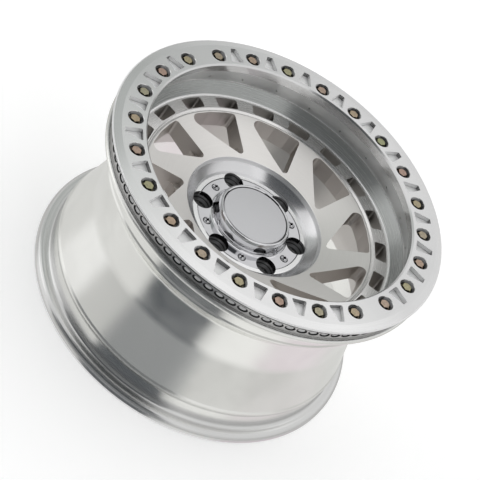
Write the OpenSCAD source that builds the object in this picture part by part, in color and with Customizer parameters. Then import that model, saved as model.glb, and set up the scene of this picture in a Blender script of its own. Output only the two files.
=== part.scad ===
/* [Rim] */
// Radius of the two bead seats
seat_r = 218.3; // [212:0.1:232]
// Width between the bead faces of the two flanges
rim_w = 215.9; // [206:0.1:260]
// Height of a flange over its bead seat
flange_h = 17.1; // [16:0.1:18]
// Depth of the inboard flange behind its bead face
flange_d = 14; // [12:0.5:18]
// Depth of the drop centre below the bead seats
well_d = 19.3; // [18:0.1:21]
// Thickness of the barrel wall
wall_t = 6.2; // [5:0.1:7]

/* [Ring] */
// Thickness of the ring at its bolts
ring_t = 16; // [14.5:0.5:20]
// Number of ring bolts
bolt_n = 24; // [20:2:26]
// Distance of the bolt circle inside the bead seat
bolt_in = 10.3; // [9.5:0.1:11]
// Depth of the counterbores for the bolt heads
cbore_d = 9; // [8:0.5:10]
// Depth of the tapered pockets between the bolts
pocket_d = 6.5; // [4:0.5:8]
// Number of oval marks round the skirt
knurl_n = 90; // [72:1:96]

/* [Disc] */
// Depth of the slotted band below the ring face
band_drop = 62; // [60:1:68]
// Fall of the spoke face from its rim to the hub recess
dish = 16.5; // [10:0.5:20]
// Number of windows between the spokes
window_n = 10; // [8:1:10]
// Number of small slots in the outer band
slot_n = 20; // [16:1:22]
// Turn of the windows
window_turn = -2; // [-18:1:18]
// Turn of the slots
slot_turn = 7.5; // [-9:0.5:9]

/* [Hub] */
// Radius of the lug circle
lug_r = 69.85; // [68.8:0.05:72]
// Number of lug holes
lug_n = 6; // [5:1:6]
// Turn of the lug holes
lug_turn = -7.3; // [-30:0.1:30]
// Radius of the lug wells
lug_well_r = 14.2; // [12:0.1:14.5]
// Radius of the stud holes
stud_hole_r = 7.75; // [6.5:0.05:8.5]
// Radius of the centre bore
bore_r = 53.05; // [38:0.05:54]
// Distance of the mounting face from the middle of the rim, outboard positive
offset_et = 0; // [-15:1:12]
// Radius of the valve hole
valve_hole_r = 5.75; // [4.2:0.05:8]

/* [Cap] */
// Height of the cap drum over the plate
drum_h = 18; // [14:0.5:24]
// Thickness of the cap plate
plate_t = 7; // [6.5:0.5:9]
// Wall of the cap drum
cap_wall = 3; // [2.5:0.1:4]

/* [Hidden] */
$fn = 96;

// Heights over the inboard edge, and radii that follow the driving ones
flange_r = seat_r + flange_h;
well_r = seat_r - well_d;
bolt_r = seat_r - bolt_in;
lip_t = 8.1;
spigot_h = 9;
front_z = flange_d + rim_w;
ledge_z = front_z + lip_t;
land_z = ledge_z + spigot_h;
top_z = land_z + ring_t;
spigot_r = bolt_r + 13.6;
mount_z = flange_d + rim_w / 2 + offset_et;
band_z = top_z - band_drop;

// Spoke face and hub recess
pad_r = lug_r + 11.75;
recess_r = pad_r + 17;
face_r = well_r - 34.6;
face_z = band_z - 1.2;
pad_z = face_z - dish - 16.3;
seat_z = pad_z - plate_t;
back_z = band_z - 28.5;
window_r = well_r - 35.7;
tip_r = recess_r + 3.5;
ledge_drop = 25;

// Cap
plate_r = lug_r + 5.85;
drum_r = lug_r - 15.45;
bezel_r = drum_r - 3.7;
badge_r = bezel_r - 4.5;
screw_r = lug_r - 3.95;
cap_top_z = pad_z + drum_h;
badge_sink = 1;
badge_t = 3;
badge_gap = 0.15;
badge_floor_z = cap_top_z - badge_sink - badge_t;

// Fasteners
shank_r = 4;
thread_gap = 0.05;
washer_r = 8.6;
washer_t = 1.6;
cbore_r = 10.6;
bolt_seat_z = top_z - cbore_d + washer_t;
bolt_depth = 22;
screw_shank_r = 3;
screw_head_r = 5.2;
screw_seat = 2.4;
screw_len = 18;
head_r = 6.6;
head_flange_r = 8;

function polar(r, a) = [r * cos(a), r * sin(a)];
// Points of an arc about c from angle a0 to a1
function arc(c, r, a0, a1, n = 6) = [for (i = [0:n]) c + polar(r, a0 + (a1 - a0) * i / n)];
function unit(v) = v / norm(v);
// Round corner q between p and s with radius r
function corner(p, q, s, r, n = 5) =
    let (u = unit(p - q), v = unit(s - q), m = unit(u + v), half = acos(u * m))
    let (c = q + m * r / sin(half), t = r / tan(half), e0 = q + u * t - c, e1 = q + v * t - c)
    let (a0 = atan2(e0[1], e0[0]), d = atan2(e1[1], e1[0]) - a0, turn = d > 180 ? d - 360 : d < -180 ? d + 360 : d)
    arc(c, r, a0, a0 + turn, n);
// Closed outline with each corner rounded by the radius that goes with it
function rounded(p, r, n = 5) =
    let (k = len(p))
    [for (i = [0:k - 1]) each (r[i] > 0 ? corner(p[(i + k - 1) % k], p[i], p[(i + 1) % k], r[i], n) : [p[i]])];

// Outside of the barrel from the inboard edge to the ring land
function rim_outside() = concat(
    [[flange_r - 10, 0], [flange_r - 2.4, 0], [flange_r, 2.4]],
    arc([flange_r - 9, flange_d - 9], 9, 0, 90, 7),
    arc([seat_r + 5.5, flange_d + 5.5], 5.5, 270, 180, 5),
    [[seat_r - 1.2, flange_d + 22.5], [seat_r - 1, flange_d + 24.5], [seat_r + 0.1, flange_d + 27.2]],
    [[seat_r + 0.4, flange_d + 28.8], [seat_r, flange_d + 30.6], [seat_r - 1.7, flange_d + 33]],
    arc([well_r + 60, top_z - 137], 60, 192, 180, 4),
    arc([well_r + 12, top_z - 92], 12, 180, 141, 4),
    [[seat_r - 0.6, top_z - 64.6], [seat_r + 0.1, top_z - 63.2], [seat_r + 0.1, top_z - 61.4]],
    [[seat_r - 0.9, top_z - 58.8]],
    arc([seat_r + 5.5, front_z - 5.5], 5.5, 180, 90, 5),
    arc([flange_r - lip_t / 2, front_z + lip_t / 2], lip_t / 2, -90, 90, 8),
    [[spigot_r, ledge_z], [spigot_r, land_z - 0.8], [spigot_r - 0.8, land_z]]
);

// Front bowl from the ring land to the spoke face, then the hub recess and the cap seat
function bowl() = concat(
    rounded([[bolt_r - 13.5, land_z], [bolt_r - 3.5, top_z - 43.5], [well_r - 7.2, band_z], [well_r - 29.2, band_z]],
        [0, 3, 4, 0], 4),
    [[well_r - 31.6, band_z - 2.2], [well_r - 33.2, face_z - 0.2], [face_r, face_z]],
    arc([pad_r + 1.5, face_z - dish + 2], 15.5, -8, -84, 10),
    [[pad_r + 0.9, pad_z - 0.2], [pad_r, pad_z], [plate_r + 0.6, pad_z], [plate_r + 0.6, seat_z]],
    [[bore_r, seat_z]]
);

// Back of the hub and disc, then the inside of the barrel
function back() = concat(
    [[bore_r, mount_z + 2], [bore_r + 2, mount_z], [pad_r + 5, mount_z], [pad_r + 7, mount_z + 2]],
    [[pad_r + 13, pad_z - 22], [pad_r + 21, pad_z - 16]],
    [[window_r - 2, back_z]],
    arc([well_r - wall_t - 7, back_z - 7], 7, 90, 0, 4),
    arc([well_r - wall_t + 60, top_z - 140], 60, 180, 192, 4),
    [[seat_r - wall_t - 2, flange_d + 33], [seat_r - wall_t - 0.8, flange_d + 27]],
    [[seat_r - wall_t - 0.8, flange_d + 4], [seat_r - wall_t + 1.6, flange_d - 4]],
    [[flange_r - 16, 3.4]]
);

// Outline of a window: near edge almost radial, far edge slanted, pointed end at the hub
function window_outline(tip_round) =
    let (a = -11.4, b = 17.1, f = window_r)
    rounded(
        [polar(tip_r, -16.3), polar(f, a), polar(f, a + 5.5), polar(f, a + 14), polar(f, b - 7), polar(f, b)],
        [tip_round, 4.5, 0, 0, 0, 8]);

// Outline of a small slot in the outer band
function slot_outline() =
    let (w = 5.15 * 20 / max(slot_n, 20), lo = well_r - 27.2, hi = well_r - 10.4)
    rounded([polar(lo, -w), polar(hi, -w), polar(hi, 0), polar(hi, w), polar(lo, w)], [3, 3, 0, 3, 3], 4);

module spaced(n, turn) {
    for (i = [0:n - 1])
        rotate([0, 0, turn + 360 * i / n]) children();
}

module revolve(points) {
    rotate_extrude($fn = 180) polygon(points);
}

// Cast and turned wheel: barrel, two flanges, spoked disc and hub in one piece
module wheel() {
    color("silver")
    difference() {
        revolve(concat(rim_outside(), bowl(), back()));
        // Windows: open to the back, with a step left at the pointed end
        spaced(window_n, window_turn) {
            translate([0, 0, pad_z - 40]) linear_extrude(60 + dish + 40) polygon(window_outline(13));
            translate([0, 0, face_z - ledge_drop]) linear_extrude(ledge_drop + 20) polygon(window_outline(5));
        }
        spaced(slot_n, slot_turn)
            translate([0, 0, back_z - 12]) linear_extrude(60) polygon(slot_outline());
        // Lug wells with tapered seats
        spaced(lug_n, lug_turn) translate([lug_r, 0, 0]) {
            translate([0, 0, pad_z - 19]) cylinder(r = lug_well_r, h = 50);
            translate([0, 0, pad_z - 27.2]) cylinder(r1 = stud_hole_r, r2 = 12.5, h = 8.2);
            translate([0, 0, mount_z - 1]) cylinder(r = stud_hole_r, h = pad_z - mount_z - 25);
        }
        // Tapped holes for the cap screws
        spaced(lug_n, lug_turn + 180 / lug_n) translate([screw_r, 0, seat_z - screw_len])
            cylinder(r = screw_shank_r + thread_gap, h = screw_len + 1);
        // Tapped holes for the ring bolts, each with a small hole through to the bowl
        spaced(bolt_n, 0) {
            translate([bolt_r, 0, land_z - bolt_depth]) cylinder(r = shank_r + thread_gap, h = bolt_depth + 1);
            translate([bolt_r - 16, 0, land_z - 18.5]) rotate([0, 90, 0]) cylinder(r = 1.5, h = 16);
        }
        // Valve hole through the drop centre behind a spoke
        rotate([0, 0, window_turn - 51.1]) translate([well_r - wall_t - 8, 0, top_z - 114])
            rotate([0, 90, 0]) cylinder(r = valve_hole_r, h = wall_t + 16);
    }
}

// Tapered pocket, wide at the inner end
module pocket() {
    translate([0, 0, top_z - pocket_d]) linear_extrude(pocket_d + 1) polygon(rounded(
        [[bolt_r - 10.4, -10.2], [bolt_r + 13.6, -4], [bolt_r + 13.6, 4], [bolt_r - 10.4, 10.2]],
        [1.6, 1.2, 1.2, 1.6], 3));
}

// One oval mark, cut radially into the skirt
module oval_mark(r, half_h, half_l) {
    translate([r, 0, 0]) rotate([0, 90, 0]) {
        for (side = [-1, 1])
            translate([0, side * (half_l - half_h), 0]) cylinder(r = half_h, h = 6, $fn = 24);
        translate([-half_h, half_h - half_l, 0]) cube([2 * half_h, 2 * (half_l - half_h), 6]);
    }
}

// Clamp ring: face with counterbores and pockets, outer lip, and a skirt round the wheel's spigot
module beadlock_ring() {
    in_r = bolt_r - 16.8;
    skirt_in = spigot_r + 0.2;
    skirt_r = spigot_r + 7.9;
    lip_r = skirt_r + 8.2;
    color("gainsboro")
    difference() {
        revolve([
            [in_r, top_z - 2], [in_r + 2.2, top_z], [bolt_r + 18, top_z], [lip_r - 1.2, top_z - 2],
            [lip_r, top_z - 3.2], [lip_r, top_z - 4.6], [lip_r - 1, top_z - 6.2], [skirt_r + 0.6, top_z - 9],
            [skirt_r, top_z - 9.8], [skirt_r, ledge_z + 0.8], [skirt_r - 0.8, ledge_z],
            [skirt_in, ledge_z], [skirt_in, land_z], [bolt_r - 13.5, land_z]]);
        spaced(bolt_n, 0) translate([bolt_r, 0, 0]) {
            translate([0, 0, land_z - 1]) cylinder(r = shank_r + 0.5, h = ring_t + 2);
            translate([0, 0, top_z - cbore_d]) cylinder(r = cbore_r, h = cbore_d + 1);
            translate([0, 0, top_z - 0.6]) cylinder(r1 = cbore_r, r2 = cbore_r + 1.1, h = 1.1);
        }
        // Two of the places between bolts stay plain
        for (i = [0:bolt_n - 1])
            if (i % (bolt_n / 2) != 0) rotate([0, 0, 360 * (i + 0.5) / bolt_n]) pocket();
        spaced(knurl_n, 0) translate([0, 0, (top_z - 9.8 + ledge_z) / 2 - 0.6])
            oval_mark(skirt_r - 1.2, 3.2, min(5.9, PI * skirt_r / knurl_n - 1.6));
    }
}

// Hexagon bolts with a flange under the head
module ring_bolts() {
    head_h = cbore_d - washer_t - 1.6;
    color("darkkhaki")
    for (i = [0:bolt_n - 1])
        rotate([0, 0, 360 * i / bolt_n]) translate([bolt_r, 0, bolt_seat_z]) rotate([0, 0, 37 * i]) {
            translate([0, 0, -washer_t - ring_t + cbore_d - bolt_depth + 2]) cylinder(
                r = shank_r, h = washer_t + ring_t - cbore_d + bolt_depth - 1);
            cylinder(r = head_flange_r, h = 1.2);
            intersection() {
                cylinder(r = head_r, h = head_h, $fn = 6);
                cylinder(r1 = head_r + head_h, r2 = head_r - 0.6, h = head_h);
            }
        }
}

module ring_washers() {
    color("dimgray")
    spaced(bolt_n, 0) translate([bolt_r, 0, top_z - cbore_d]) difference() {
        cylinder(r = washer_r, h = washer_t);
        translate([0, 0, -1]) cylinder(r = shank_r + 0.3, h = washer_t + 2);
    }
}

// Bright cap: plate notched round the lug wells, hollow drum, and a rolled edge round the badge
module center_cap() {
    color("whitesmoke")
    difference() {
        revolve(concat(
            [[drum_r - 6.4, seat_z], [plate_r - 0.5, seat_z], [plate_r, seat_z + 0.5], [plate_r, pad_z - 0.8]],
            [[plate_r - 0.8, pad_z]],
            arc([drum_r + 3.6, pad_z + 3.6], 3.6, 270, 184, 5),
            [[drum_r - 0.6, pad_z + 5], [bezel_r + 1.2, cap_top_z - 4]],
            arc([bezel_r - 2.2, cap_top_z - 2.2], 2.2, 20, 110, 6),
            [[badge_r + 0.6, cap_top_z - 0.8], [badge_r, cap_top_z - 1.4], [badge_r, badge_floor_z]],
            [[0, badge_floor_z], [0, badge_floor_z - cap_wall], [bezel_r - cap_wall - 1, badge_floor_z - cap_wall]]
        ));
        spaced(lug_n, lug_turn) translate([lug_r, 0, seat_z - 1]) cylinder(r = lug_well_r + 0.3, h = plate_t + 12);
        spaced(lug_n, lug_turn + 180 / lug_n) translate([screw_r, 0, 0]) {
            translate([0, 0, seat_z - 1]) cylinder(r = screw_shank_r + 0.3, h = plate_t + 2);
            translate([0, 0, pad_z - screw_seat]) cylinder(r = screw_head_r + 0.7, h = 12);
        }
    }
}

// Plain round badge let into the cap
module cap_badge() {
    edge_r = badge_r - badge_gap;
    top = badge_floor_z + badge_t;
    color("lightgray")
    revolve([[0, badge_floor_z], [edge_r, badge_floor_z], [edge_r, top - badge_t / 4],
        [edge_r - badge_t / 4, top], [0, top + badge_t / 15]]);
}

// Button-head screws with a hexagon socket
module cap_screws() {
    color("gainsboro")
    spaced(lug_n, lug_turn + 180 / lug_n) translate([screw_r, 0, pad_z - screw_seat]) difference() {
        union() {
            revolve(concat([[0, 0], [screw_head_r, 0], [screw_head_r, 0.8]],
                arc([0, 0.8], screw_head_r, 14, 60, 4), [[0, 3.2]]));
            translate([0, 0, screw_seat - plate_t - screw_len + 2]) cylinder(
                r = screw_shank_r, h = plate_t + screw_len - screw_seat - 1);
        }
        translate([0, 0, 1.2]) cylinder(r = 2.3, h = 6, $fn = 6);
    }
}

wheel();
beadlock_ring();
ring_bolts();
ring_washers();
center_cap();
cap_badge();
cap_screws();
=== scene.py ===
"""Looks of an off-road car wheel: materials, studio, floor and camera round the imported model.

Metres, in the model's own frame: the wheel's axis is +Z and its outer face looks up.
"""
import math

import bpy
from mathutils import Matrix, Vector

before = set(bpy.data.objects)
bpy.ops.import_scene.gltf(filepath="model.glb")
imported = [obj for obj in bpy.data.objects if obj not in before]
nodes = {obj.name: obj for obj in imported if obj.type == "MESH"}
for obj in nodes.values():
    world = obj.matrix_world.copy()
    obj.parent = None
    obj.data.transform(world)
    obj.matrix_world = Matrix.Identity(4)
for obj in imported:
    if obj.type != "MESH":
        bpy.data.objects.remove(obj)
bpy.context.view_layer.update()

# Camera: the photograph's own place, fitted to the circle of the ring bolts
CAM_POS = Vector((-0.92810, 1.26868, 1.50582))
CAM_X = Vector((-0.4044113, -0.7907120, 0.4595933))
CAM_Y = Vector((0.7999508, -0.0622355, 0.5968296))
CAM_Z = Vector((-0.4433173, 0.6090166, 0.6576994))
CAM_LENS = 118.0
CAM_SENSOR = 36.0

# How softly a mask ends, in metres to each side of its edge
HAIR = 0.0001
FINE = 0.0002
CLEAN = 0.0003
SOFT = 0.0004
WIDE = 0.0006
BAND_SOFT = 0.0012

# Where the wheel's surfaces lie. A span is (from, to) in radius or height. A span from a larger
# number to a smaller one fades in on the way down or inwards.
FRONT_FADE_Z = (0.176, 0.183)
WINDOW_R = (0.0965, 0.1645)
WINDOW_Z = (0.135, 0.1993)
LEDGE_Z = (0.172, 0.1765)
SLOT_R = (0.1708, 0.1896)
SLOT_Z = (0.140, 0.2003)
WELL_R = (0.0545, 0.0846)
WELL_Z = (0.1195, 0.1668)
SPOKE_FADE_R = (0.1650, 0.1640)
BAND_R = (0.1655, 0.1912)
CONE_R = (0.1916, 0.2052)
CONE_Z = (0.201, 0.2195)
BOWL_WALL_R = (0.1940, 0.2052)
BOWL_WALL_Z = (0.2195, 0.2468)
# The bowl edge spans place painted highlight lines at the cone's top and foot
BOWL_EDGES_R = (0.1860, 0.2060)
UPPER_EDGE_Z = (0.2189, 0.2203)
LOWER_EDGE_Z = (0.2013, 0.2028)
PAD_EDGE_R = (0.0756, 0.0828)
PAD_EDGE_Z = (0.1666, 0.1678)
HUB_BOWL_R = (0.0821, 0.0990)
HUB_BOWL_FADE_Z = (0.1668, 0.1672)
SEAT_OUTSIDE_FADE_R = (0.2065, 0.2075)
SEAT_OUTSIDE_FADE_Z = (0.2375, 0.2368)
BARREL_OUTSIDE_FADE_R = (0.1978, 0.1988)
BARREL_OUTSIDE_FADE_Z = (0.2000, 0.1990)
REAR_FLANGE_FADE_Z = (0.030, 0.024)
BARREL_INSIDE_FADE_R = (0.1660, 0.1700)
BARREL_INSIDE_FADE_Z = (0.2000, 0.1960)
BEHIND_DISC_FADE_R = (0.2125, 0.2095)
BEHIND_DISC_FADE_Z = (0.174, 0.168)
WELL_RIB_PITCH = 0.007

# Where the clamp ring's surfaces lie
SKIRT_R = 0.2295
SKIRT_SPAN_R = (0.2216, 0.2297)
SKIRT_SPAN_Z = (0.2384, 0.2538)
# A line of painted shade under the lip, and a painted highlight line on its rim above
UNDER_LIP_Z = (0.2538, 0.2592)
UNDER_LIP_FADE_R = (0.2296, 0.2300)
RIM_LINE_Z = (0.2592, 0.2616)
RIM_LINE_FADE_R = (0.2358, 0.2362)
POCKET_R = (0.1965, 0.2225)
# Pocket walls carry painted light on their sides and painted shade at their foot and on their end
# walls
POCKET_WALL_Z = (0.2567, 0.2626)
POCKET_FLOOR_Z = (0.2560, 0.2570)
POCKET_FOOT_FADE_Z = (0.2572, 0.2569)
BORE_R = (0.1965, 0.2200)
BORE_FADE_Z = (0.2564, 0.2561)
HATCH_PITCH = 0.0021

# Oval marks round the skirt. A mark's reach is 0 at its centre and 1 on its cut outline.
MARK_COUNT = 90
MARK_Z = 0.2450
MARK_HALF_LENGTH = 0.0059
MARK_HALF_HEIGHT = 0.0032
# Painted shade lies on each mark's outline, where the cut walls are
MARK_OUTLINE = (0.82, 1.22)
MARK_OUTLINE_SOFT = 0.06
# Painted highlight fills each mark's middle
MARK_CENTRE_FADE = (0.82, 0.74)

# Where the small pieces' surfaces lie
BOLT_COUNT = 24
BOLT_FLANGE_FADE_Z = (0.2570, 0.2567)
CAP_NOTCH_FADE_Z = (0.1676, 0.1672)
BADGE_SEAM_R = (0.0461, 0.0469)
BADGE_SEAM_FADE_Z = (0.177, 0.178)
SOCKET_FLOOR_Z = (0.1657, 0.1659)
SOCKET_WALL_FADE_Z = (0.16575, 0.16585)
SOCKET_SOFT = 0.00005

# How level a surface has to be to count as level, or how little to count as upright
WHEEL_LEVEL = (0.35, 0.75)
RING_LEVEL = (0.55, 0.9)
BOLT_UPRIGHT = (0.35, 0.15)
CAP_UPRIGHT = (0.4, 0.2)
SOCKET_LEVEL = (0.9, 0.98)
SOCKET_UPRIGHT = (0.2, 0.1)

# How squarely a pocket's wall has to face the axis to be its end wall
END_WALL_SQUARE = (0.6, 0.8)

# Parts of a noise's range over which a mask or a value goes from one end to the other
CLOUD_FADE = (0.35, 0.65)
WIDE_CLOUD_FADE = (0.3, 0.7)
ALL = (0.0, 1.0)


def grey(level):
    return (level, level, level)


# Base colours, linear. In a pair, a noise or the turning marks go from the first to the second.
MACHINED = ((0.66, 0.66, 0.65), (0.72, 0.72, 0.71))
MACHINED_MARKS = grey(0.52)
OUTSIDE = ((0.80, 0.80, 0.775), (0.89, 0.89, 0.865))
SPOKE_FACE = ((0.74, 0.725, 0.705), (0.66, 0.645, 0.625))
SLOTTED_BAND = (0.81, 0.80, 0.79)
REAR_FLANGE = (0.68, 0.68, 0.675)
BOWL_CONE = (0.46, 0.475, 0.465)
BOWL_WALL = (0.74, 0.745, 0.74)
# Painted highlight: bright thin lines on the bowl's edges
BOWL_EDGE_HIGHLIGHT = grey(0.94)
PAD_EDGE = grey(0.86)
CAST_WALLS = ((0.50, 0.465, 0.44), (0.62, 0.58, 0.55))
# Painted light: the ledges in the windows are made near-white against the shade there
WINDOW_LEDGE_LIGHT = (0.95, 0.92, 0.89)
SLOT_WALLS = (0.39, 0.37, 0.35)
WELL_RIBS = ((0.42, 0.42, 0.43), grey(0.12))
BARREL_INSIDE = (0.66, 0.635, 0.61)
HUB_BOWL = (0.72, 0.72, 0.73)

RING = (grey(0.68), grey(0.74))
RING_MARKS = grey(0.56)
# Darker skirt: the knurled band's own duller tone, with painted shade from the lip over it
SKIRT = ((0.54, 0.535, 0.53), (0.67, 0.665, 0.66))
# Painted highlight in the marks' middles
MARK_CENTRE_HIGHLIGHT = grey(0.78)
# Painted shade on the marks' outlines
MARK_OUTLINE_SHADE = grey(0.06)
# Painted shade in hatch lines on the pockets' end walls, painted light on their sides and painted
# shade at their foot
HATCHED_SHADE = (grey(0.02), grey(0.50))
POCKET_SIDE_LIGHT = grey(0.88)
POCKET_FOOT_SHADE = grey(0.10)
# Painted light: the pocket floors are made near-white and matt
POCKET_FLOOR_LIGHT = grey(0.93)
# Painted shade: the bolt bores' walls are near-black
BORE_SHADE = (0.015, 0.014, 0.013)
# Painted highlight on the lip's rim, and painted shade under the lip
RIM_HIGHLIGHT = grey(0.95)
UNDER_LIP_SHADE = grey(0.12)

# Olive, tan, bronze and khaki, each with its place on the colour ramp
BOLT_TINTS = (
    (0.0, (0.36, 0.38, 0.22)),
    (0.33, (0.46, 0.38, 0.26)),
    (0.66, (0.47, 0.32, 0.27)),
    (1.0, (0.40, 0.38, 0.27)),
)
BOLT_SPOTS = (0.18, 0.16, 0.12)
BOLT_FLANGE = (0.016, 0.012, 0.009)
# Painted shade on the bolt heads' sides
BOLT_SIDE_SHADE = (0.05, 0.044, 0.034)
WASHER = ((0.010, 0.009, 0.008), (0.025, 0.022, 0.020))
CHROME = ((0.60, 0.60, 0.615), (0.67, 0.67, 0.685))
# Painted shade in the cap plate's notches and in the seam round the badge
CHROME_GAP_SHADE = (0.035, 0.035, 0.037)
BADGE = ((0.56, 0.56, 0.575), (0.64, 0.64, 0.655))
SCREW = ((0.60, 0.60, 0.615), (0.70, 0.70, 0.715))
# Painted shade in the screws' sockets
SCREW_SOCKET_SHADE = grey(0.03)


class Nodes:
    """Short calls to add and join shader nodes in one tree."""

    def __init__(self, tree):
        self.tree = tree
        tree.nodes.clear()

    def add(self, kind, **settings):
        made = self.tree.nodes.new("ShaderNode" + kind)
        for name, value in settings.items():
            setattr(made, name, value)
        return made

    def put(self, socket, value):
        """Link an output to a socket, or set a number or colour on the socket itself."""
        if hasattr(value, "is_output"):
            self.tree.links.new(value, socket)
        elif isinstance(value, (tuple, list)) and socket.type == "RGBA" and len(value) == 3:
            socket.default_value = (*value, 1.0)
        else:
            socket.default_value = value

    def math(self, operation, a, b=0.0):
        made = self.add("Math", operation=operation)
        for socket, value in zip(made.inputs, (a, b)):
            self.put(socket, value)
        return made.outputs[0]

    def split(self, vector):
        made = self.add("SeparateXYZ")
        self.put(made.inputs[0], vector)
        return made.outputs

    def combine(self, x, y, z):
        made = self.add("CombineXYZ")
        for socket, value in zip(made.inputs, (x, y, z)):
            self.put(socket, value)
        return made.outputs[0]

    def ramp(self, value, span, result=ALL):
        """A smooth step from one result to the other as value goes along span."""
        made = self.add("MapRange", interpolation_type="SMOOTHSTEP")
        names = ("Value", "From Min", "From Max", "To Min", "To Max")
        for name, given in zip(names, (value, *span, *result)):
            self.put(made.inputs[name], given)
        return made.outputs[0]

    def inside(self, value, span, soft):
        """1 within span, with soft edges."""
        low, high = span
        rise = self.ramp(value, (low - soft, low + soft))
        fall = self.ramp(value, (high - soft, high + soft), (1.0, 0.0))
        return self.math("MULTIPLY", rise, fall)

    def product(self, first, *others):
        for mask in others:
            first = self.math("MULTIPLY", first, mask)
        return first

    def either(self, first, *others):
        for mask in others:
            first = self.math("MAXIMUM", first, mask)
        return first

    def other(self, mask):
        """1 where the mask is 0, and the other way round."""
        return self.math("SUBTRACT", 1.0, mask)

    def mix(self, factor, a, b):
        made = self.add("Mix", data_type="RGBA", blend_type="MIX")
        for index, value in ((0, factor), (6, a), (7, b)):
            self.put(made.inputs[index], value)
        return made.outputs[2]

    def mix_value(self, factor, a, b):
        made = self.add("Mix", data_type="FLOAT")
        for index, value in ((0, factor), (2, a), (3, b)):
            self.put(made.inputs[index], value)
        return made.outputs[0]

    def coloured(self, base, *layers):
        """Lay colours over a base colour, each through its mask, later ones on top."""
        for mask, colour in layers:
            base = self.mix(mask, base, colour)
        return base

    def valued(self, base, *layers):
        """The same as coloured, for single numbers."""
        for mask, value in layers:
            base = self.mix_value(mask, base, value)
        return base

    def noise(self, vector, scale, detail, rough):
        made = self.add("TexNoise")
        given = {"Vector": vector, "Scale": scale, "Detail": detail, "Roughness": rough}
        for name, value in given.items():
            self.put(made.inputs[name], value)
        return made.outputs["Fac"]

    def bump(self, height, distance, strength):
        made = self.add("Bump")
        given = {"Height": height, "Distance": distance, "Strength": strength}
        for name, value in given.items():
            self.put(made.inputs[name], value)
        return made.outputs["Normal"]

    def lean(self, normal, amount, angle):
        """Turn a shading normal towards a 45 degree cone that opens upwards."""
        slope = math.sqrt(0.5)
        cone = self.combine(
            self.math("MULTIPLY", self.math("COSINE", angle), -slope),
            self.math("MULTIPLY", self.math("SINE", angle), -slope),
            slope,
        )
        mixed = self.add("Mix", data_type="VECTOR")
        for index, value in ((0, amount), (4, normal), (5, cone)):
            self.put(mixed.inputs[index], value)
        unit = self.add("VectorMath", operation="NORMALIZE")
        self.put(unit.inputs[0], mixed.outputs[1])
        return unit.outputs[0]

    def place(self):
        """The object's own coordinates."""
        return self.add("TexCoord").outputs["Object"]

    def polar(self, place):
        """Radius from the wheel's axis, angle round it and height."""
        x, y, z = self.split(place)
        squares = self.math("ADD", self.math("MULTIPLY", x, x), self.math("MULTIPLY", y, y))
        return self.math("SQRT", squares), self.math("ARCTAN2", y, x), z

    def facing_out(self, angle):
        """1 for a surface that faces straight to or from the axis, 0 for one along a radius."""
        x, y, _ = self.split(self.add("NewGeometry").outputs["True Normal"])
        along_x = self.math("MULTIPLY", x, self.math("COSINE", angle))
        along_y = self.math("MULTIPLY", y, self.math("SINE", angle))
        return self.math("ABSOLUTE", self.math("ADD", along_x, along_y))

    def facing_up(self):
        """1 for a level surface, whichever way it looks, and 0 for an upright wall."""
        return self.math("ABSOLUTE", self.split(self.add("NewGeometry").outputs["True Normal"])[2])


def new_material(name):
    made = bpy.data.materials.new(name)
    made.use_nodes = True
    return made, Nodes(made.node_tree)


def finish_metal(n, colour, rough, normal=None, anisotropic=0.0, metallic=1.0):
    """One metal surface. Where it is anisotropic, the grain of turning runs round the axis."""
    shader = n.add("BsdfPrincipled")
    n.put(shader.inputs["Base Color"], colour)
    n.put(shader.inputs["Roughness"], rough)
    n.put(shader.inputs["Metallic"], metallic)
    if anisotropic:
        shader.inputs["Anisotropic"].default_value = anisotropic
        shader.inputs["Anisotropic Rotation"].default_value = 0.25
        tangent = n.add("Tangent", direction_type="RADIAL", axis="Z")
        n.put(shader.inputs["Tangent"], tangent.outputs[0])
    if normal is not None:
        n.put(shader.inputs["Normal"], normal)
    n.put(n.add("OutputMaterial").inputs["Surface"], shader.outputs[0])


def turning_marks(n, r, angle, z, pitch):
    """Fine rings left by the lathe, broken up slowly round the circle. Goes from 0 to 1."""
    drift = 2.2
    rings = n.combine(
        n.math("MULTIPLY", r, 1 / pitch),
        n.math("MULTIPLY", n.math("SINE", angle), drift),
        n.math(
            "ADD",
            n.math("MULTIPLY", z, 1 / pitch),
            n.math("MULTIPLY", n.math("COSINE", angle), drift),
        ),
    )
    return n.noise(rings, scale=1.0, detail=4.0, rough=0.65)


def waves(n, value, pitch):
    """A sine wave along value, with one crest for each pitch."""
    return n.math("SINE", n.math("MULTIPLY", value, 2 * math.pi / pitch))


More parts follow.
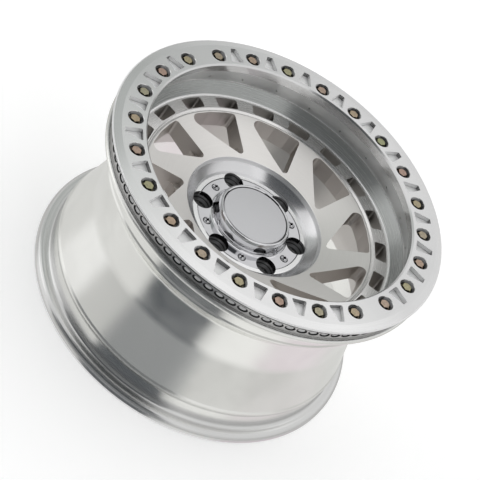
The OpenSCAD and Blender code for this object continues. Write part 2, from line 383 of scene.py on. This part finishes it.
def wheel_material():
    """Turned aluminium with rough cast walls in windows, slots and lug wells; painted light on
    bowl edges and ledges.
    """
    made, n = new_material("wheel_machined_aluminium")
    place = n.place()
    r, angle, z = n.polar(place)
    level = n.ramp(n.facing_up(), WHEEL_LEVEL)
    upright = n.other(level)
    marks = turning_marks(n, r, angle, z, pitch=0.0012)
    cloud = n.noise(place, scale=9.0, detail=3.0, rough=0.55)
    cast = n.noise(place, scale=900.0, detail=2.0, rough=0.6)

    front = n.product(n.ramp(z, FRONT_FADE_Z), level)
    spoke_face = n.product(front, n.ramp(r, SPOKE_FADE_R))
    band = n.product(front, n.inside(r, BAND_R, BAND_SOFT))
    in_windows = n.inside(r, WINDOW_R, WIDE)
    windows = n.product(upright, in_windows, n.inside(z, WINDOW_Z, SOFT))
    ledges = n.product(level, in_windows, n.inside(z, LEDGE_Z, SOFT))
    slots = n.product(upright, n.inside(r, SLOT_R, WIDE), n.inside(z, SLOT_Z, SOFT))
    wells = n.product(upright, n.inside(r, WELL_R, SOFT), n.inside(z, WELL_Z, FINE))
    cast_walls = n.either(windows, ledges, slots)
    cone = n.product(n.inside(r, CONE_R, SOFT), n.inside(z, CONE_Z, WIDE))
    bowl_wall = n.product(n.inside(r, BOWL_WALL_R, SOFT), n.inside(z, BOWL_WALL_Z, SOFT))
    # Painted highlights along the top and the foot of the cone
    both_edges = n.either(n.inside(z, UPPER_EDGE_Z, CLEAN), n.inside(z, LOWER_EDGE_Z, CLEAN))
    edges = n.product(both_edges, n.inside(r, BOWL_EDGES_R, SOFT), 0.8)
    pad_edge = n.product(level, n.inside(r, PAD_EDGE_R, FINE), n.inside(z, PAD_EDGE_Z, FINE))
    hub_bowl = n.product(n.inside(r, HUB_BOWL_R, WIDE), n.ramp(z, HUB_BOWL_FADE_Z))
    outside = n.either(
        n.product(n.ramp(r, SEAT_OUTSIDE_FADE_R), n.ramp(z, SEAT_OUTSIDE_FADE_Z)),
        n.product(n.ramp(r, BARREL_OUTSIDE_FADE_R), n.ramp(z, BARREL_OUTSIDE_FADE_Z)),
    )
    rear_flange = n.product(outside, n.ramp(z, REAR_FLANGE_FADE_Z))
    upright_inside = n.product(upright, n.other(outside))
    barrel_inside = n.product(
        upright_inside,
        n.ramp(r, BARREL_INSIDE_FADE_R),
        n.ramp(z, BARREL_INSIDE_FADE_Z),
        n.other(slots),
    )
    behind_disc = n.product(
        upright_inside, n.ramp(r, BEHIND_DISC_FADE_R), n.ramp(z, BEHIND_DISC_FADE_Z)
    )

    cloudy = n.ramp(cloud, CLOUD_FADE)
    ribs = n.ramp(waves(n, z, WELL_RIB_PITCH), (0.3, 0.9))
    colour = n.coloured(
        n.mix(cloudy, *MACHINED),
        (n.ramp(marks, (0.25, 0.75), result=(0.0, 0.25)), MACHINED_MARKS),
        (outside, n.mix(cloudy, *OUTSIDE)),
        (spoke_face, n.mix(marks, *SPOKE_FACE)),
        (band, SLOTTED_BAND),
        (rear_flange, REAR_FLANGE),
        (cone, BOWL_CONE),
        (bowl_wall, BOWL_WALL),
        (edges, BOWL_EDGE_HIGHLIGHT),
        (pad_edge, PAD_EDGE),
        (n.either(windows, ledges), n.mix(cloud, *CAST_WALLS)),
        # Painted light on the window ledges
        (ledges, WINDOW_LEDGE_LIGHT),
        (slots, SLOT_WALLS),
        (wells, n.mix(ribs, *WELL_RIBS)),
        (barrel_inside, BARREL_INSIDE),
        (hub_bowl, HUB_BOWL),
    )
    rough = n.valued(
        n.ramp(marks, ALL, result=(0.20, 0.32)),
        (outside, n.ramp(cloud, CLOUD_FADE, result=(0.21, 0.27))),
        (n.either(spoke_face, bowl_wall), 0.34),
        (hub_bowl, 0.22),
        (behind_disc, 0.42),
        (cast_walls, 0.5),
        (wells, 0.4),
    )
    relief = n.mix_value(cast_walls, marks, cast)
    bumped = n.bump(relief, distance=0.00006, strength=n.mix_value(outside, 0.25, 0.08))
    normal = n.lean(bumped, n.product(hub_bowl, 0.85), angle)
    metallic = n.mix_value(n.either(bowl_wall, cone), 1.0, 0.55)
    finish_metal(n, colour, rough, normal, anisotropic=0.8, metallic=metallic)
    return made


def ring_material():
    """Turned aluminium, with painted shade in the bores, in hatch lines on pocket walls and round
    the ovals.
    """
    made, n = new_material("ring_machined_aluminium")
    place = n.place()
    r, angle, z = n.polar(place)
    level = n.ramp(n.facing_up(), RING_LEVEL)
    upright = n.other(level)
    marks = turning_marks(n, r, angle, z, pitch=0.0009)
    cloud = n.noise(place, scale=7.0, detail=2.0, rough=0.5)

    skirt = n.product(n.inside(r, SKIRT_SPAN_R, FINE), n.inside(z, SKIRT_SPAN_Z, FINE))
    offset = 100.5  # puts a mark's centre at step 0.5 and keeps the sum above 0
    turns = n.math("MULTIPLY", angle, MARK_COUNT / (2 * math.pi))
    step = n.math("FRACT", n.math("ADD", turns, offset))
    mark_pitch = 2 * math.pi * SKIRT_R / MARK_COUNT
    along = n.math("MULTIPLY", n.math("SUBTRACT", step, 0.5), mark_pitch / MARK_HALF_LENGTH)
    across = n.math("DIVIDE", n.math("SUBTRACT", z, MARK_Z), MARK_HALF_HEIGHT)
    squares = n.math("ADD", n.math("MULTIPLY", along, along), n.math("MULTIPLY", across, across))
    reach = n.math("SQRT", squares)
    # Painted shade round each mark
    outline_shade = n.product(skirt, n.inside(reach, MARK_OUTLINE, MARK_OUTLINE_SOFT))
    # Painted highlight in each mark's middle
    mark_highlights = n.product(skirt, n.ramp(reach, MARK_CENTRE_FADE))

    # Painted highlight on the rim and painted shade under the lip
    lip_highlight = n.product(n.ramp(r, RIM_LINE_FADE_R), n.inside(z, RIM_LINE_Z, CLEAN))
    lip_shade = n.product(n.inside(z, UNDER_LIP_Z, CLEAN), n.ramp(r, UNDER_LIP_FADE_R))
    pocket_walls = n.product(
        upright, n.inside(r, POCKET_R, CLEAN), n.inside(z, POCKET_WALL_Z, HAIR)
    )
    pocket_floors = n.product(level, n.inside(z, POCKET_FLOOR_Z, HAIR))
    # Painted shade on the bores' walls
    bores = n.product(upright, n.ramp(z, BORE_FADE_Z), n.inside(r, BORE_R, CLEAN))
    # Painted light on pocket sides, painted shade at their foot and in hatch lines on the end
    # walls
    side_light_and_foot_shade = n.mix(n.ramp(z, POCKET_FOOT_FADE_Z), POCKET_SIDE_LIGHT, POCKET_FOOT_SHADE)
    hatch_shade = n.mix(n.ramp(waves(n, z, HATCH_PITCH), (-0.2, 0.6)), *HATCHED_SHADE)
    end_walls = n.ramp(n.facing_out(angle), END_WALL_SQUARE)

    colour = n.coloured(
        n.mix(n.ramp(cloud, WIDE_CLOUD_FADE), *RING),
        (n.ramp(marks, (0.3, 0.8), result=(0.0, 0.18)), RING_MARKS),
        (skirt, n.mix(marks, *SKIRT)),
        (mark_highlights, MARK_CENTRE_HIGHLIGHT),
        (outline_shade, MARK_OUTLINE_SHADE),
        (pocket_walls, n.mix(end_walls, side_light_and_foot_shade, hatch_shade)),
        (bores, BORE_SHADE),
        (lip_highlight, RIM_HIGHLIGHT),
        (lip_shade, UNDER_LIP_SHADE),
        (pocket_floors, POCKET_FLOOR_LIGHT),
    )
    rough = n.valued(n.mix_value(marks, 0.16, 0.26), (skirt, 0.42), (pocket_floors, 0.30))
    # The painted light and shade marks are made matt
    matt = n.either(pocket_floors, pocket_walls, mark_highlights, lip_highlight)
    metallic = n.mix_value(matt, 1.0, 0.15)
    normal = n.bump(marks, distance=0.00005, strength=0.3)
    finish_metal(n, colour, rough, normal, anisotropic=0.6, metallic=metallic)
    return made


def bolt_material():
    """Zinc plating whose tint changes from one bolt to the next, on dark flanges, with painted
    shade on the heads' sides.
    """
    made, n = new_material("bolts_tinted_zinc")
    place = n.place()
    _, angle, z = n.polar(place)
    number = n.math("ROUND", n.math("MULTIPLY", angle, BOLT_COUNT / (2 * math.pi)))
    above_zero, shuffle = 40.0, 0.3719
    turn = n.math("FRACT", n.math("MULTIPLY", n.math("ADD", number, above_zero), shuffle))
    tint = n.add("ValToRGB")
    stops = tint.color_ramp.elements
    while len(stops) < len(BOLT_TINTS):
        stops.new(0.5)
    for stop, (position, colour) in zip(stops, BOLT_TINTS):
        stop.position = position
        stop.color = (*colour, 1.0)
    n.put(tint.inputs[0], turn)

    spots = n.noise(place, scale=420.0, detail=3.0, rough=0.6)
    colour = n.coloured(
        tint.outputs[0],
        (n.ramp(spots, (0.35, 0.7), result=(0.0, 0.5)), BOLT_SPOTS),
        (n.ramp(z, BOLT_FLANGE_FADE_Z), BOLT_FLANGE),
        # Painted shade on the heads' sides
        (n.ramp(n.facing_up(), BOLT_UPRIGHT), BOLT_SIDE_SHADE),
    )
    rough = n.ramp(spots, WIDE_CLOUD_FADE, result=(0.28, 0.45))
    finish_metal(n, colour, rough, n.bump(spots, distance=0.0001, strength=0.3))
    return made


def washer_material():
    """Dark plating."""
    made, n = new_material("washers_dark_zinc")
    spots = n.noise(n.place(), scale=350.0, detail=3.0, rough=0.6)
    rough = n.ramp(spots, WIDE_CLOUD_FADE, result=(0.3, 0.5))
    finish_metal(n, n.mix(spots, *WASHER), rough)
    return made


def chrome_material():
    """Bright plating, with painted shade in the plate's notches and in the seam round the badge.
    """
    made, n = new_material("cap_chrome")
    place = n.place()
    r, _, z = n.polar(place)
    cloud = n.noise(place, scale=60.0, detail=2.0, rough=0.5)
    # Painted shade in the notches and the badge seam
    notches = n.product(n.ramp(n.facing_up(), CAP_UPRIGHT), n.ramp(z, CAP_NOTCH_FADE_Z))
    seam = n.product(n.inside(r, BADGE_SEAM_R, HAIR), n.ramp(z, BADGE_SEAM_FADE_Z))
    colour = n.coloured(n.mix(cloud, *CHROME), (n.either(notches, seam), CHROME_GAP_SHADE))
    finish_metal(n, colour, n.ramp(cloud, WIDE_CLOUD_FADE, result=(0.02, 0.04)))
    return made


def badge_material():
    """Satin metal with a fine even grain."""
    made, n = new_material("badge_satin")
    grain = n.noise(n.place(), scale=1400.0, detail=2.0, rough=0.5)
    rough = n.ramp(grain, WIDE_CLOUD_FADE, result=(0.34, 0.42))
    finish_metal(n, n.mix(grain, *BADGE), rough, n.bump(grain, distance=0.00004, strength=0.4))
    return made


def screw_material():
    """Bright metal, with painted shade in the socket."""
    made, n = new_material("screws_bright")
    place = n.place()
    _, _, z = n.polar(place)
    cloud = n.noise(place, scale=200.0, detail=2.0, rough=0.5)
    up = n.facing_up()
    # Painted shade on the socket's floor and walls
    socket_floor = n.product(n.ramp(up, SOCKET_LEVEL), n.inside(z, SOCKET_FLOOR_Z, SOCKET_SOFT))
    socket_wall = n.product(n.ramp(up, SOCKET_UPRIGHT), n.ramp(z, SOCKET_WALL_FADE_Z))
    colour = n.coloured(n.mix(cloud, *SCREW), (n.either(socket_floor, socket_wall), SCREW_SOCKET_SHADE))
    finish_metal(n, colour, n.ramp(cloud, WIDE_CLOUD_FADE, result=(0.12, 0.2)))
    return made


MATERIALS = {
    "wheel": wheel_material,
    "beadlock_ring": ring_material,
    "ring_bolts": bolt_material,
    "ring_washers": washer_material,
    "center_cap": chrome_material,
    "cap_badge": badge_material,
    "cap_screws": screw_material,
}
for node_name, make_material in MATERIALS.items():
    material_slots = nodes[node_name].data.materials
    material_slots.clear()
    material_slots.append(make_material())


# The studio that lights the scene and shows in the metal. Directions are in degrees, azimuth
# from -180 to 180.
STUDIO_LOW = (1.0, 1.0, 0.985)
STUDIO_MIDDLE = (0.74, 0.74, 0.725)
STUDIO_HIGH = grey(0.88)
LOW_TO_MIDDLE = (-42.0, -14.0)
MIDDLE_TO_HIGH = (-8.0, 20.0)
ALL_ROUND = (-181, 181)

# Cards in it, later ones over earlier ones: azimuth span, height span, shade, and softness in
# azimuth and height. A span past 180 ends there, so the drop centre's bright band, which crosses
# that seam, is given twice.
CARDS = (
    # Even light for the drop centre
    (ALL_ROUND, (-52, -26), (0.76, 0.76, 0.75), (2.0, 4.0)),
    # Grey-green on the ring's upper left and on the spokes at the lower right
    ((-50, 24), (22, 62), (0.53, 0.55, 0.535), (3.0, 8.0)),
    # Bright block beside the dark one in the hub bowl
    ((159, 200), (26, 68), grey(1.0), (3.0, 6.0)),
    # Bright band beside the dark one on the drop centre
    ((158, 198), (-56, -33), (1.0, 1.0, 0.99), (4.0, 4.0)),
    ((-200, -160), (-56, -33), (1.0, 1.0, 0.99), (4.0, 4.0)),
    # Even light for the steep end of the barrel
    (ALL_ROUND, (-24, 6), (0.60, 0.60, 0.59), (2.0, 4.0)),
    # Bright band on the left of the steep end
    ((30, 66), (-30, 8), grey(1.0), (6.0, 4.0)),
    # Bright light on the ring's right side
    ((-112, -54), (20, 37), grey(0.94), (3.0, 3.0)),
    # Dark block in the hub bowl and the bowl
    ((66, 155), (-6, 80), (0.085, 0.09, 0.095), (3.0, 4.0)),
    # Paler band across it, so that a level face isn't black from the side
    ((60, 160), (11, 21), (0.45, 0.455, 0.46), (3.0, 3.0)),
    # Dark band on the steep end
    ((98, 156), (-30, -2), (0.42, 0.43, 0.435), (5.0, 5.0)),
    # Dark band on the drop centre
    ((93, 150), (-59, -26), (0.06, 0.068, 0.08), (3.0, 4.0)),
    # Faint pink on the right of the drop centre
    ((-158, -104), (-60, -33), (0.86, 0.785, 0.83), (10.0, 4.0)),
)


def studio_world():
    """White for the camera. All else sees a pale studio with soft pale and dark cards."""
    world = bpy.data.worlds.new("studio")
    bpy.context.scene.world = world
    world.use_nodes = True
    n = Nodes(world.node_tree)
    x, y, z = n.split(n.add("TexCoord").outputs["Generated"])
    in_degrees = 180 / math.pi
    azimuth = n.math("MULTIPLY", n.math("ARCTAN2", y, x), in_degrees)
    height = n.math("MULTIPLY", n.math("ARCSINE", z), in_degrees)

    studio = n.mix(n.ramp(height, LOW_TO_MIDDLE), STUDIO_LOW, STUDIO_MIDDLE)
    studio = n.mix(n.ramp(height, MIDDLE_TO_HIGH), studio, STUDIO_HIGH)
    for azimuths, heights, shade, (azimuth_soft, height_soft) in CARDS:
        card = n.product(
            n.inside(azimuth, azimuths, azimuth_soft), n.inside(height, heights, height_soft)
        )
        studio = n.mix(card, studio, shade)

    seen_by_scene = n.add("Background")
    n.put(seen_by_scene.inputs["Color"], studio)
    seen_by_scene.inputs["Strength"].default_value = 1.0
    seen_by_camera = n.add("Background")
    seen_by_camera.inputs["Color"].default_value = (1, 1, 1, 1)
    join = n.add("MixShader")
    n.put(join.inputs[0], n.add("LightPath").outputs["Is Camera Ray"])
    n.put(join.inputs[1], seen_by_scene.outputs[0])
    n.put(join.inputs[2], seen_by_camera.outputs[0])
    n.put(n.add("OutputWorld").inputs["Surface"], join.outputs[0])


FLOOR_SIZE = 8.0
FLOOR_GAP = 0.0002
FLOOR_SHADE = 0.90
FLOOR_GLOW = 0.40


def floor():
    """Pale floor under the wheel. It keeps the soft shadow, and the metal doesn't see it."""
    bpy.ops.mesh.primitive_plane_add(size=FLOOR_SIZE, location=(0, 0, -FLOOR_GAP))
    plane = bpy.context.object
    plane.name = "floor"
    made, n = new_material("floor_white")
    diffuse = n.add("BsdfDiffuse")
    n.put(diffuse.inputs["Color"], grey(FLOOR_SHADE))
    glow = n.add("Emission")
    to_camera = n.add("LightPath").outputs["Is Camera Ray"]
    n.put(glow.inputs["Strength"], n.math("MULTIPLY", to_camera, FLOOR_GLOW))
    total = n.add("AddShader")
    n.put(total.inputs[0], diffuse.outputs[0])
    n.put(total.inputs[1], glow.outputs[0])
    n.put(n.add("OutputMaterial").inputs["Surface"], total.outputs[0])
    plane.data.materials.append(made)
    plane.visible_glossy = False


SOFTBOX_AIM = Vector((0, 0, 0.15))


def softbox(name, place, size, power):
    """A square lamp that looks at the wheel. Size in metres, power in watts."""
    data = bpy.data.lights.new(name, "AREA")
    data.shape = "SQUARE"
    data.size = size
    data.energy = power
    lamp = bpy.data.objects.new(name, data)
    bpy.context.scene.collection.objects.link(lamp)
    lamp.location = place
    lamp.rotation_euler = (SOFTBOX_AIM - Vector(place)).to_track_quat("-Z", "Y").to_euler()


def camera():
    data = bpy.data.cameras.new("camera")
    data.sensor_width = CAM_SENSOR
    data.lens = CAM_LENS
    made = bpy.data.objects.new("camera", data)
    bpy.context.scene.collection.objects.link(made)
    axes = Matrix((CAM_X, CAM_Y, CAM_Z)).transposed()
    made.matrix_world = Matrix.Translation(CAM_POS) @ axes.to_4x4()
    bpy.context.scene.camera = made


studio_world()
floor()
softbox("softbox_top", (0.3, -0.5, 1.8), size=1.6, power=2.5)
softbox("softbox_side", (1.6, 1.2, 1.0), size=1.2, power=2.0)
camera()
bpy.context.scene.view_settings.view_transform = "Standard"
